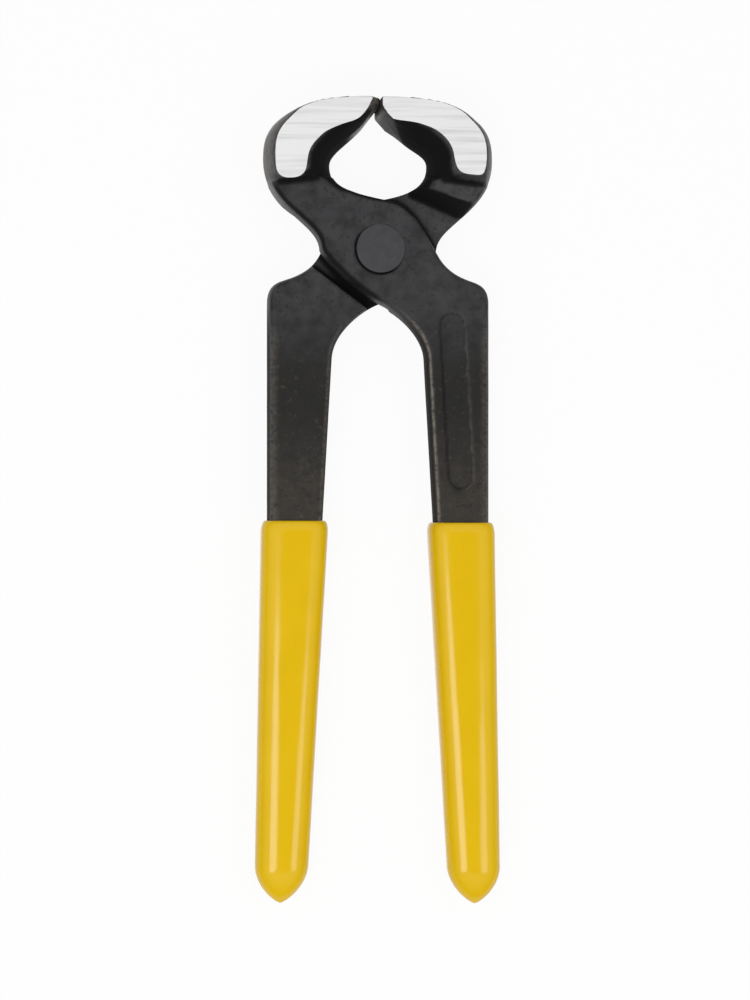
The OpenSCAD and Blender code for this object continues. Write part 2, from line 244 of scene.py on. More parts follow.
# Dipped grips: edges, half thickness and squareness of the section, each at the rim and at the tip
GRIP_RIM_Y = PIVOT.y - 67 * MM
GRIP_INNER = (12.39 * MM, 17.89 * MM)
GRIP_OUTER = (29.1 * MM, 30.77 * MM)
GRIP_HALF_T = (6.1 * MM, 5.0 * MM)
GRIP_SQUARE = (3.4, 2.4)
GRIP_WALL = 1.5 * MM
GRIP_TIP_L = 9.3 * MM
GRIP_LIP_L = 3 * MM
GRIP_WAVE_SIZE = 14 * MM
GRIP_WAVE_DEPTH = 0.1 * MM
LEFT_GRIP_SHORT = 1 * MM
RIGHT_RIM_LOW = 0.5 * MM
# Powers that draw the blunt point of the tip
TIP_POWERS = (1.9, 0.755)
# Rows of a grip, from the tip at 0: end of the outside, end of the rim, foot of the bore, end of the bore
GRIP_STAGES = (0.72, 0.76, 0.985, 1)
# Share of the wall that the rounded lip takes, share that the bore takes, and how near the tip the bore ends
LIP_SHARE = 0.7
BORE_SHARE = 0.97
BORE_END = 0.1
GRIP_ROWS = 200
GRIP_SIDES = 96


def linear(code):
    """Linear colour of an sRGB hex value, with full alpha."""
    parts = [int(code[i:i + 2], 16) / 255 for i in (1, 3, 5)]
    return (*[c / 12.92 if c <= 0.04045 else ((c + 0.055) / 1.055) ** 2.4 for c in parts], 1)


def add(tree, kind, inputs=None, **settings):
    """Add a node with its settings. Each input is a value, or a node or socket to link from."""
    node = tree.nodes.new(kind)
    for name, value in settings.items():
        setattr(node, name, value)
    for key, value in (inputs or {}).items():
        if isinstance(value, bpy.types.Node):
            value = value.outputs[0]
        if isinstance(value, bpy.types.NodeSocket):
            tree.links.new(value, node.inputs[key])
        else:
            node.inputs[key].default_value = value
    return node


def new_material(name):
    """A material with an empty node tree."""
    material = bpy.data.materials.new(name)
    material.use_nodes = True
    material.node_tree.nodes.clear()
    return material, material.node_tree


def link_object(name, data):
    """A new object in the scene."""
    obj = bpy.data.objects.new(name, data)
    bpy.context.scene.collection.objects.link(obj)
    return obj


def plain_mesh(obj):
    """The object's evaluated mesh, with its modifiers taken off."""
    depsgraph = bpy.context.evaluated_depsgraph_get()
    mesh = bpy.data.meshes.new_from_object(obj.evaluated_get(depsgraph))
    obj.modifiers.clear()
    obj.data = mesh
    return mesh


def new_tree(name, inputs):
    """A geometry tree with one geometry in and out, and a number for each of the named inputs."""
    tree = bpy.data.node_groups.new(name, "GeometryNodeTree")
    tree.interface.new_socket("Geometry", in_out="INPUT", socket_type="NodeSocketGeometry")
    tree.interface.new_socket("Geometry", in_out="OUTPUT", socket_type="NodeSocketGeometry")
    for label in inputs:
        tree.interface.new_socket(label, in_out="INPUT", socket_type="NodeSocketFloat")
    return tree, add(tree, "NodeGroupInput").outputs


def add_tree(obj, tree, values):
    """Put a geometry tree on an object, with its inputs set by their identifiers."""
    modifier = obj.modifiers.new(tree.name, "NODES")
    modifier.node_group = tree
    for item in tree.interface.items_tree:
        if item.in_out == "INPUT" and item.name in values:
            modifier[item.identifier] = values[item.name]


def ramp(bounds, values):
    """Smooth rise from 0 at the first bound to 1 at the second."""
    start, full = bounds
    t = np.clip((values - start) / (full - start), 0, 1)
    return t * t * (3 - 2 * t)


def black_oxide_steel():
    """Carbon steel, drop-forged and blackened in a hot oxide bath: charcoal with a dull sheen, mottled by
    scale and dark specks, browner and flecked on the shanks, pale where it is worn and where highlights are
    painted, and near black where shade and shadow are painted."""
    material, tree = new_material("Black-oxide drop-forged carbon steel")
    place = add(tree, "ShaderNodeTexCoord").outputs["Object"]
    height = add(tree, "ShaderNodeSeparateXYZ", {0: place}).outputs["Y"]
    # Shares of painted shade, and of pale wear with painted highlights, read from the skin's attributes
    painted_shade = add(tree, "ShaderNodeAttribute", attribute_name="painted_shade").outputs["Fac"]
    wear_and_highlight = add(tree, "ShaderNodeAttribute", attribute_name="wear_and_highlight").outputs["Fac"]
    scale = add(tree, "ShaderNodeTexNoise", {"Vector": place, "Scale": 1 / SCALE_SIZE, "Detail": 5})
    speck = add(tree, "ShaderNodeTexNoise", {"Vector": place, "Scale": 1 / SPECK_SIZE, "Detail": 3})
    grain = add(tree, "ShaderNodeTexNoise", {"Vector": place, "Scale": 1 / STEEL_GRAIN, "Detail": 2})
    mottle = add(tree, "ShaderNodeMapRange", {"Value": scale, "From Min": 0.3, "From Max": 0.65})
    on_shank, near_grip = [
        add(tree, "ShaderNodeMapRange", {
            "Value": height, "From Min": start, "From Max": full,
        }, interpolation_type="SMOOTHSTEP")
        for start, full in (SHANK_BROWN_Y, WORN_BROWN_Y)
    ]
    plate, brown, worn_brown = [
        add(tree, "ShaderNodeMix", {
            SHARE: mottle, COLOUR_A: linear(dark), COLOUR_B: linear(pale),
        }, data_type="RGBA").outputs[COLOUR]
        for dark, pale in (PLATE_MOTTLE, SHANK_MOTTLE, WORN_MOTTLE)
    ]
    dark_speck = add(tree, "ShaderNodeMapRange", {
        "Value": speck, "From Min": 0.42, "From Max": 0.32, "To Max": 0.6,
    })
    pale_speck = add(tree, "ShaderNodeMapRange", {
        "Value": speck, "From Min": 0.6, "From Max": 0.75, "To Max": 0.2,
    })
    fleck = add(tree, "ShaderNodeMath", {0: pale_speck, 1: on_shank}, operation="MULTIPLY")
    patchy = add(tree, "ShaderNodeMapRange", {"Value": speck, "From Min": 0.2, "From Max": 0.55})
    wear_and_highlight_share = add(tree, "ShaderNodeMath", {0: wear_and_highlight, 1: patchy}, operation="MULTIPLY")

    # From the plates' own colour up, each layer covers a share of what is under it
    colour = plate
    # The last two layers are the pale of wear and painted highlights, and the near black of painted shade
    for share, over in (
        (on_shank, brown), (near_grip, worn_brown), (dark_speck, linear(SPECK_COLOUR)),
        (fleck, linear(FLECK_COLOUR)), (wear_and_highlight_share, linear(WEAR_AND_HIGHLIGHT_COLOUR)), (painted_shade, linear(PAINTED_SHADE_COLOUR)),
    ):
        colour = add(tree, "ShaderNodeMix", {
            SHARE: share, COLOUR_A: colour, COLOUR_B: over,
        }, data_type="RGBA").outputs[COLOUR]
    sheen = add(tree, "ShaderNodeMapRange", {
        "Value": scale, "From Min": 0.3, "From Max": 0.7, "To Min": 0.44, "To Max": 0.6,
    })
    polished = add(tree, "ShaderNodeMix", {SHARE: wear_and_highlight, NUMBER_A: sheen, NUMBER_B: WEAR_AND_HIGHLIGHT_ROUGHNESS})
    roughness = add(tree, "ShaderNodeMix", {SHARE: painted_shade, NUMBER_A: polished, NUMBER_B: PAINTED_SHADE_ROUGHNESS})
    bump = add(tree, "ShaderNodeBump", {"Strength": 0.35, "Distance": 0.06 * MM, "Height": grain})
    shader = add(tree, "ShaderNodeBsdfPrincipled", {
        "Base Color": colour, "Roughness": roughness, "Specular IOR Level": 0.3, "Normal": bump,
    })
    add(tree, "ShaderNodeOutputMaterial", {"Surface": shader})
    return material


def ground_steel():
    """Bare carbon steel from the grinding wheel: near white under soft light, with faint long streaks that
    are drawn coarser than the grit leaves them, so that they show."""
    material, tree = new_material("Surface-ground bright carbon steel")
    place = add(tree, "ShaderNodeTexCoord").outputs["Object"]
    along = add(tree, "ShaderNodeMapping", {
        "Vector": place, "Rotation": (0, 0, math.radians(STREAK_TURN_DEG)),
        "Scale": (1 / STREAK_LENGTH, 1 / STREAK_WIDTH, 0),
    })
    streak = add(tree, "ShaderNodeTexNoise", {"Vector": along, "Scale": 1, "Detail": 3, "Roughness": 0.6})
    share = add(tree, "ShaderNodeMapRange", {"Value": streak, "From Min": 0.3, "From Max": 0.55})
    colour = add(tree, "ShaderNodeMix", {
        SHARE: share, COLOUR_A: linear(STREAK_COLOURS[0]), COLOUR_B: linear(STREAK_COLOURS[1]),
    }, data_type="RGBA").outputs[COLOUR]
    bump = add(tree, "ShaderNodeBump", {"Strength": 0.08, "Distance": 0.02 * MM, "Height": streak})
    shader = add(tree, "ShaderNodeBsdfPrincipled", {
        "Base Color": colour, "Metallic": 1, "Roughness": 0.62, "Normal": bump,
    })
    add(tree, "ShaderNodeOutputMaterial", {"Surface": shader})
    return material


def peened_steel():
    """Rivet steel, hammered over cold and blackened: charcoal, a little paler and smoother than the plates,
    with soft dents."""
    material, tree = new_material("Black-oxide peened rivet steel")
    place = add(tree, "ShaderNodeTexCoord").outputs["Object"]
    blows = add(tree, "ShaderNodeTexNoise", {"Vector": place, "Scale": 1 / BLOW_SIZE, "Detail": 4})
    grain = add(tree, "ShaderNodeTexNoise", {"Vector": place, "Scale": 1 / RIVET_GRAIN, "Detail": 2})
    colour = add(tree, "ShaderNodeMix", {
        SHARE: blows, COLOUR_A: linear(RIVET_COLOURS[0]), COLOUR_B: linear(RIVET_COLOURS[1]),
    }, data_type="RGBA").outputs[COLOUR]
    bump = add(tree, "ShaderNodeBump", {"Strength": 0.3, "Distance": 0.05 * MM, "Height": grain})
    shader = add(tree, "ShaderNodeBsdfPrincipled", {
        "Base Color": colour, "Roughness": 0.48, "Specular IOR Level": 0.35, "Normal": bump,
    })
    add(tree, "ShaderNodeOutputMaterial", {"Surface": shader})
    return material


def dipped_pvc():
    """Plasticised PVC, dip-moulded over the tang: strong yellow, glossy, with a slightly wavy skin."""
    material, tree = new_material("Dip-moulded glossy PVC")
    place = add(tree, "ShaderNodeTexCoord").outputs["Object"]
    cloud = add(tree, "ShaderNodeTexNoise", {"Vector": place, "Scale": 1 / CLOUD_SIZE, "Detail": 3})
    peel = add(tree, "ShaderNodeTexNoise", {"Vector": place, "Scale": 1 / PEEL_SIZE, "Detail": 2})
    colour = add(tree, "ShaderNodeMix", {
        SHARE: cloud, COLOUR_A: linear(GRIP_COLOURS[0]), COLOUR_B: linear(GRIP_COLOURS[1]),
    }, data_type="RGBA").outputs[COLOUR]
    gloss = add(tree, "ShaderNodeMapRange", {
        "Value": cloud, "From Min": 0.3, "From Max": 0.7, "To Min": 0.12, "To Max": 0.17,
    })
    bump = add(tree, "ShaderNodeBump", {"Strength": 0.05, "Distance": 0.05 * MM, "Height": peel})
    shader = add(tree, "ShaderNodeBsdfPrincipled", {
        "Base Color": colour, "Roughness": gloss, "IOR": 1.53, "Specular IOR Level": 0.3, "Normal": bump,
    })
    add(tree, "ShaderNodeOutputMaterial", {"Surface": shader})
    return material


def forged_skin():
    """Tree that moves a skin in and out along its normals by two noises, but leaves the lapped faces and
    the edges of the ground faces as they are."""
    tree, given = new_tree("forged_skin", (
        "Swell Size", "Swell Depth", "Pit Size", "Pit Depth", "Lap Z", "Lap Start", "Lap End",
        "Face Depth", "Face Start", "Face End",
    ))
    place = add(tree, "GeometryNodeInputPosition")
    swell_scale = add(tree, "ShaderNodeMath", {0: 1.0, 1: given["Swell Size"]}, operation="DIVIDE")
    swell = add(tree, "ShaderNodeTexNoise", {"Vector": place, "Scale": swell_scale, "Detail": 1.0})
    swell_side = add(tree, "ShaderNodeMath", {0: swell, 1: 0.5}, operation="SUBTRACT")
    swell_move = add(tree, "ShaderNodeMath", {0: swell_side, 1: given["Swell Depth"]}, operation="MULTIPLY")
    pit_scale = add(tree, "ShaderNodeMath", {0: 1.0, 1: given["Pit Size"]}, operation="DIVIDE")
    pit = add(tree, "ShaderNodeTexNoise", {"Vector": place, "Scale": pit_scale, "Detail": 1.0})
    pit_side = add(tree, "ShaderNodeMath", {0: pit, 1: 0.5}, operation="SUBTRACT")
    move = add(tree, "ShaderNodeMath", {
        0: pit_side, 1: given["Pit Depth"], 2: swell_move,
    }, operation="MULTIPLY_ADD")
    z = add(tree, "ShaderNodeSeparateXYZ", {0: place}).outputs["Z"]
    from_lap = add(tree, "ShaderNodeMath", {0: z, 1: given["Lap Z"]}, operation="SUBTRACT")
    away = add(tree, "ShaderNodeMath", {0: from_lap}, operation="ABSOLUTE")
    off_lap = add(tree, "ShaderNodeMapRange", {
        "Value": away, "From Min": given["Lap Start"], "From Max": given["Lap End"],
    }, interpolation_type="SMOOTHSTEP")
    under_face = add(tree, "ShaderNodeMath", {0: given["Face Depth"], 1: away}, operation="SUBTRACT")
    off_face = add(tree, "ShaderNodeMapRange", {
        "Value": under_face, "From Min": given["Face Start"], "From Max": given["Face End"],
    }, interpolation_type="SMOOTHSTEP")
    free = add(tree, "ShaderNodeMath", {0: off_lap, 1: off_face}, operation="MULTIPLY")
    length = add(tree, "ShaderNodeMath", {0: move, 1: free}, operation="MULTIPLY")
    shift = add(tree, "ShaderNodeVectorMath", {
        0: add(tree, "GeometryNodeInputNormal"), "Scale": length,
    }, operation="SCALE")
    moved = add(tree, "GeometryNodeSetPosition", {"Geometry": given["Geometry"], "Offset": shift.outputs[0]})
    whole = add(tree, "GeometryNodeRealizeInstances", {"Geometry": moved})
    finished = add(tree, "GeometryNodeSetMaterial", {"Geometry": whole, "Material": STEEL})
    add(tree, "NodeGroupOutput", {"Geometry": finished})
    return tree


def grind(mesh, low, high, front):
    """Cut both jaw faces flat. The cut faces get the second material and a crisp, even edge."""
    bm = bmesh.new()
    bm.from_mesh(mesh)
    for level, outward in ((low, -1), (high, 1)):
        geometry = bm.verts[:] + bm.edges[:] + bm.faces[:]
        bmesh.ops.bisect_plane(bm, geom=geometry, plane_co=(0, 0, level), plane_no=(0, 0, outward))
    for vert in bm.verts:
        vert.co.z = min(max(vert.co.z, low), high)
    for face in bm.faces:
        levels = [vert.co.z for vert in face.verts]
        face.material_index = int(max(levels) < low + GRIND_EDGE or min(levels) > high - GRIND_EDGE)
        face.smooth = True
    outline = []
    for edge in bm.edges:
        edge.smooth = len({face.material_index for face in edge.link_faces}) == 1
        if not edge.smooth:
            outline.append(edge)
    even_out(bm, outline, front)
    bm.to_mesh(mesh)
    bm.free()


def even_out(bm, outline, front):
    """Smooth the outlines of the ground faces within their levels, move their feet, and carry the vertices
    beside them along."""
    verts = list({vert for edge in outline for vert in edge.verts})
    index = {vert: i for i, vert in enumerate(verts)}
    a, b = np.array([[index[vert] for vert in edge.verts] for edge in outline]).T
    start = np.array([vert.co for vert in verts])
    free = (np.abs(start[:, 0]) > OUTLINE_START_X)[:, None]
    degree = (np.bincount(a, minlength=len(verts)) + np.bincount(b, minlength=len(verts)))[:, None]
    place = start.copy()
    for _ in range(OUTLINE_PASSES):
        total = np.zeros_like(place)
        np.add.at(total, a, place[b])
        np.add.at(total, b, place[a])
        place += free * (total / degree - place) / 2
    place[:, 1] -= FOOT_DROP * front * np.sign(start[:, 2] - PIVOT.z) * ramp(FOOT_Y, start[:, 1])
    shift = place - start
    shift[:, 2] = 0
    near = KDTree(len(verts))
    for i, spot in enumerate(start):
        near.insert(spot, i)
    near.balance()
    for vert in bm.verts:
        _, i, distance = near.find(vert.co)
        if distance < OUTLINE_REACH:
            vert.co += Vector(shift[i]) * ramp((OUTLINE_REACH, 0), distance)


def close_edge(mesh):
    """Bring the cutting edge up to its partner, so that no light shows between the closed jaws."""
    for vert in mesh.vertices:
        if vert.co.y > CUTTING_Y:
            vert.co.x -= math.copysign(CUTTING_CLOSER * ramp(CUTTING_REACH, abs(vert.co.x)), vert.co.x)


def soften(values, links):
    """Values at the points of a skin, drawn towards the mean of the points beside them."""
    a, b = links
    count = len(values)
    degree = np.bincount(a, minlength=count) + np.bincount(b, minlength=count)
    for _ in range(SOFTENING):
        beside = (np.bincount(a, values[b], count) + np.bincount(b, values[a], count)) / degree
        values = (values + beside) / 2
    return values


def surface(mesh):
    """Points in millimetres from the rivet's centre, their normals, how much the skin bulges at each, and
    the pairs of points that an edge joins."""
    count = len(mesh.vertices)
    point = np.empty(count * 3)
    mesh.vertices.foreach_get("co", point)
    point = (point.reshape(-1, 3) - np.array(PIVOT)) / MM
    normal = np.array([item.vector for item in mesh.vertex_normals])
    edges = np.empty(len(mesh.edges) * 2, int)
    mesh.edges.foreach_get("vertices", edges)
    a, b = edges.reshape(-1, 2).T
    step = point[b] - point[a]
    reach = (step ** 2).sum(1)
    degree = np.bincount(a, minlength=count) + np.bincount(b, minlength=count)
    bulge = (
        np.bincount(a, -2 * (normal[a] * step).sum(1) / reach, count)
        + np.bincount(b, 2 * (normal[b] * step).sum(1) / reach, count)
    ) / degree
    return point, normal, soften(bulge, (a, b)), (a, b)


def gap_to(mesh, node):
    """Distance in millimetres from each point to another solid, as far as it matters."""
    solid = frame["nodes"][node].data
    tree = BVHTree.FromPolygons([v.co for v in solid.vertices], [p.vertices for p in solid.polygons])
    most = CLOSE_GAP[0] * MM
    found = [tree.find_nearest(v.co, most)[3] for v in mesh.vertices]
    return np.array([most if distance is None else distance for distance in found]) / MM


def throat_walls(point, normal):
    """Painted shade in the hollow behind the cutting edges, and the right and the left jaw's facet above it.
    """
    x, y, z = point.T
    oval = np.hypot((x - THROAT_CENTRE[0]) / THROAT_RADII[0], (y - THROAT_CENTRE[1]) / THROAT_RADII[1])
    steep = ramp(THROAT_STEEP, np.abs(normal[:, 2]))
    past_facet = (point - FACET_POINT) @ FACET_ACROSS
    right = np.where(x > 0, ramp(FACET_EDGE, past_facet) * ramp(FACET_END_Y, y), 0)
    narrow = np.abs(z) + LEFT_FACET_TAPER * (LEFT_TIP_Y[0] - y)
    left = np.maximum(ramp(LEFT_FACET_Z, narrow), ramp(LEFT_TIP_Y, y)) * ramp(LEFT_FACET_Y, y)
    left = np.where(x < 0, left, 0)
    shaded_share = 1 - (1 - FACET_PAINTED_SHADE) * right - left
    hollow = ramp(THROAT_RIM, oval) * steep * shaded_share * ramp(RIDGE, np.abs(z))
    return hollow, steep * right * ramp(FACET_TOP_Y, y), steep * left * ramp(LEFT_TOP_Y, y)


def mark_painted_shade(point, normal, bulge, links, gap):
    """Painted shade, near black: in the throat, in creases and gaps, on the lapped faces, on walls that face
    the rivet, on the sides of the shanks and on the bevel of the plates, and painted shadow by the rivet
    head."""
    x, y, z = point.T
    flat = np.abs(normal[:, 2])
    hollow, right_facet, left_facet = throat_walls(point, normal)
    inward = -(normal[:, :2] * point[:, :2]).sum(1) / np.hypot(x, y)
    taper = np.where(x > 0, 1, ramp(LAP_TAPER_X, x))
    wall = ramp(WALL_STEEP, flat) * ramp(WALL_IN, inward) * ramp(HEAD_Y, y)
    wall *= np.where(y < 0, taper, 1) * (1 - np.maximum(right_facet, left_facet))
    lap = ramp(LAP_Z, np.abs(z)) * ramp(LAP_FLAT, flat) * ramp(LAP_Y, y) * taper
    crease = ramp(CREASE, -bulge) * (1 - ramp(CREASE_OUT, -inward) * ramp(CHEEK_Y, y))
    close = ramp(CLOSE_GAP, gap) * ramp(CLOSE_GAP_Y, y)
    side = SIDE_PAINTED_SHADE * ramp(SIDE_STEEP, flat) * ramp(SHANK_Y, y)
    line = LINE_PAINTED_SHADE * ramp(LINE_FLAT, flat) * ramp(LINE_STEEP, flat) * ramp(LINE_X, x)
    line *= ramp(LINE_Z, np.abs(z)) * ramp(HEAD_Y, y) * ramp(LINE_Y, y)
    painted_shade = np.max([hollow, wall, lap, crease * ramp(CREASE_SPREAD_Y, y), close, line], axis=0)
    for _ in range(PAINTED_SHADE_SPREAD):
        before = painted_shade.copy()
        for near, far in (links, links[::-1]):
            np.maximum.at(painted_shade, near, before[far])
    painted_shade = np.max([soften(painted_shade, links), SHANK_CREASE * crease, side], axis=0)
    # Painted shadow: the seat of the rivet shows dark only where the head stands proud
    open_way = math.radians(SEAT_OPEN_DEG)
    towards = (1 + np.cos(np.arctan2(y, x) - open_way)) / 2
    radius = np.hypot(x, y)
    seat = ramp(SEAT_SHADOW_R, radius) * ramp(SEAT_SHADOW_Z, np.abs(z))
    return np.maximum(painted_shade, seat) * np.maximum(ramp(SEAT_R, radius), ramp(SEAT_OPEN, towards))


def mark_wear_and_highlight(point, normal, bulge, front):
    """Pale marks of wear and painted highlights: wear and a painted highlight on sharp edges and the long
    edges of the shank, wear near the shanks' outer sides, painted highlights on the cheeks and the facets,
    and a paler plate where the other half sweeps it and the front plate shades it."""
    x, y, z = point.T
    flat = np.abs(normal[:, 2])
    side = np.sign(z)
    from_panel = side * x - PANEL_AT[0] - PANEL_SPLAY * (PANEL_AT[1] - y)
    panel = ramp(PANEL_HALF_W, np.abs(from_panel)) * np.where(from_panel < 0, 1, 1 - PANEL_LIT_HIGHLIGHT)
    inner = (from_panel < 0) & (side * x > 0)
    rim = ramp(RIM_FLAT, flat) * ramp(RIM_STEEP, flat) * (1 - panel) * np.where(inner, 1, OUTER_RIM)
    worn = WORN_RUB * ramp(WORN_X, np.abs(x))
    shank = np.maximum(rim, worn) * ramp(SHANK_Y, y)
    radius = np.hypot(x, y)
    edge = EDGE_WEAR_AND_HIGHLIGHT * ramp(EDGE_CURVE, bulge) * ramp(SEAT_R, radius) * (1 - panel)
    outward = (normal[:, :2] * point[:, :2]).sum(1) / radius
    cheek = CHEEK_HIGHLIGHT * ramp(CHEEK_STEEP, flat) * ramp(CHEEK_OUT, outward) * ramp(CHEEK_Y, y)
    swept = SWEPT_WEAR_AND_LIGHT * ramp(SWEPT_FLAT, flat) * ramp(SWEPT_X, np.abs(x))
    swept *= ramp(SWEPT_Y, y) * ramp(SWEPT_DEPTH, -front * z)
    _, right_facet, left_facet = throat_walls(point, normal)
    right_facet *= FACET_HIGHLIGHT * ramp(FACET_HIGHLIGHT_Y, y)
    left_facet *= LEFT_FACET_HIGHLIGHT
    return np.max([edge, shank, cheek, swept, right_facet, left_facet], axis=0)


def forged_half(node, other, body, front):
    """High-resolution skin of one lever over its solid, softened, pitted and then ground at the jaw. The
    half's own front is towards +Z (front 1) or -Z (front -1)."""
    mesh = frame["nodes"][node].data.copy()
    bm = bmesh.new()
    bm.from_mesh(mesh)
    bmesh.ops.remove_doubles(bm, verts=bm.verts, dist=WELD)
    bm.to_mesh(mesh)
    bm.free()
    mesh.materials.clear()
    half = link_object(f"forged_{node}", mesh)
    remesh = half.modifiers.new("skin", "REMESH")
    remesh.mode = "VOXEL"
    remesh.voxel_size = SKIN_FACE
    smooth = half.modifiers.new("soften", "SMOOTH")
    smooth.iterations = SKIN_SMOOTHING
    low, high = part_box(node)
    add_tree(half, SKIN_TREE, {
        "Swell Size": SWELL_SIZE, "Swell Depth": SWELL_DEPTH, "Pit Size": PIT_SIZE, "Pit Depth": PIT_DEPTH,
        "Lap Z": PIVOT.z, "Lap Start": LAP_FADE[0], "Lap End": LAP_FADE[1],
        "Face Depth": (high.z - low.z) / 2, "Face Start": FACE_FADE[0], "Face End": FACE_FADE[1],
    })
    mesh = plain_mesh(half)
    mesh.materials.append(BRIGHT)
    grind(mesh, low.z + GRIND_DEPTH, high.z - GRIND_DEPTH, front)
    close_edge(mesh)
    point, normal, bulge, links = surface(mesh)
    # Painted shade, and pale wear with painted highlights, kept as attributes for the steel's material
    painted_shade = mark_painted_shade(point, normal, bulge, links, gap_to(mesh, other))
    wear_and_highlight = mark_wear_and_highlight(point, normal, bulge, front)
    for name, values in (("painted_shade", painted_shade), ("wear_and_highlight", wear_and_highlight)):
        mesh.attributes.new(name, "FLOAT", "POINT").data.foreach_set("value", values.astype(np.float32))
    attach(half, body)
    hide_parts(node)


def rivet():
    """Rivet turned from its profile. On the front, its head is beaten down on one side."""
    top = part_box("pivot_rivet")[1].z - PIVOT.z
    under = top - RIVET_PROUD - RIVET_SEAT_DEPTH
    shoulder = top - RIVET_CROWN
    edge_r = RIVET_HEAD_R - RIVET_RIM_R
    head = [(RIVET_R, under), (RIVET_HEAD_R, under)]
    head += [
        (edge_r + RIVET_RIM_R * math.cos(w), shoulder - RIVET_RIM_R * (1 - math.sin(w)))
        for w in np.linspace(0, math.pi / 2, RIVET_RIM_STEPS)
    ]
    head += [
        (edge_r * s, top - RIVET_CROWN * s * s) for s in np.linspace(1, 0, RIVET_DOME_STEPS, False)[1:]
    ]
    profile = [(0, -top)] + [(r, -z) for r, z in reversed(head)] + head + [(0, top)]
    angles = np.linspace(0, math.tau, RIVET_STEPS, False)
    bm = bmesh.new()
    rings = []
    for r, z in profile:
        ring = []
        for w in angles if r else angles[:1]:
            towards = (1 + math.cos(w - math.radians(RIVET_BEATEN_DEG))) / 2
            beaten = towards ** 2 * (r / RIVET_HEAD_R) ** 2 if z > under else 0
            wide = r + RIVET_BEATEN_SPREAD * beaten
            spot = (wide * math.cos(w), wide * math.sin(w), z - RIVET_BEATEN_DROP * beaten)
            ring.append(bm.verts.new(spot))
        rings.append(ring)
    for lower, upper in zip(rings, rings[1:]):
        for i in range(RIVET_STEPS):
            j = (i + 1) % RIVET_STEPS
            corners = [ring[k % len(ring)] for ring, k in ((lower, i), (lower, j), (upper, j), (upper, i))]
            bm.faces.new(list(dict.fromkeys(corners))).smooth = True
    bmesh.ops.recalc_face_normals(bm, faces=bm.faces)
    bmesh.ops.translate(bm, verts=bm.verts, vec=PIVOT)
    mesh = bpy.data.meshes.new("peened_rivet")
    bm.to_mesh(mesh)
    bm.free()
    mesh.materials.append(RIVET_STEEL)
    piece = link_object("peened_rivet", mesh)
    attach(piece, "front_lever")
    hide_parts("pivot_rivet")


